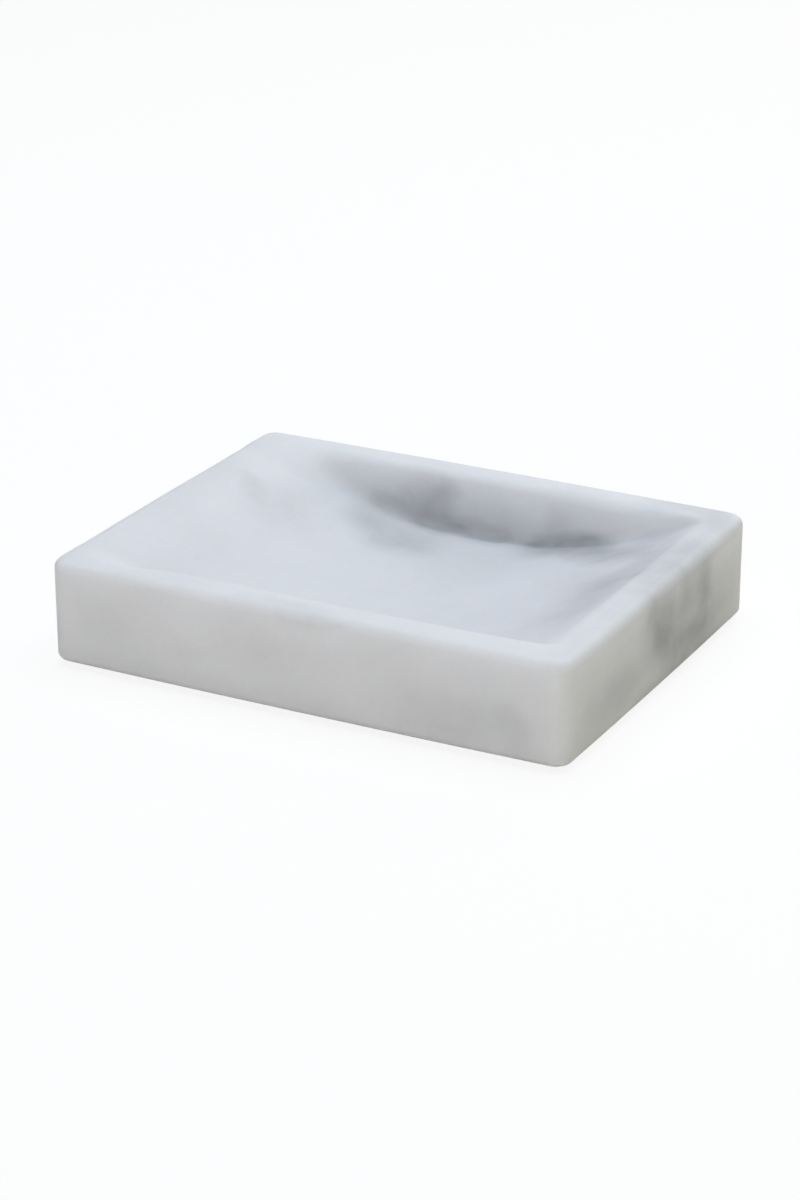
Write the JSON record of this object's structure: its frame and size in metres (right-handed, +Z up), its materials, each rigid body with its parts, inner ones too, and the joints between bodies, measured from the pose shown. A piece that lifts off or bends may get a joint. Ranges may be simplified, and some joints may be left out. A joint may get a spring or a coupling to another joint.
{
  "type": "soap dish",
  "caption": "Rectangular marble soap dish, carved from a solid block with a shallow scooped recess, on round stick-on foot pads.",
  "frame": {"origin": "centre of the footprint, on the surface that the dish stands on (the undersides of the pads)", "axes": "+X along the long side to the right, +Y from the front to the back, +Z up"},
  "size_m": [0.14, 0.11, 0.0279],
  "materials": {
    "marble": "honed, satin, white with soft grey clouds",
    "pad": "frosted clear polyurethane",
    "glue": "pressure-sensitive adhesive film"
  },
  "bodies": {
    "root": {"dish_body": "marble", "foot_pad_front_left": "pad", "foot_pad_front_right": "pad", "foot_pad_back_left": "pad", "foot_pad_back_right": "pad", "pad_glue_front_left": "glue", "pad_glue_front_right": "glue", "pad_glue_back_left": "glue", "pad_glue_back_right": "glue"}
  },
  "joints": []
}
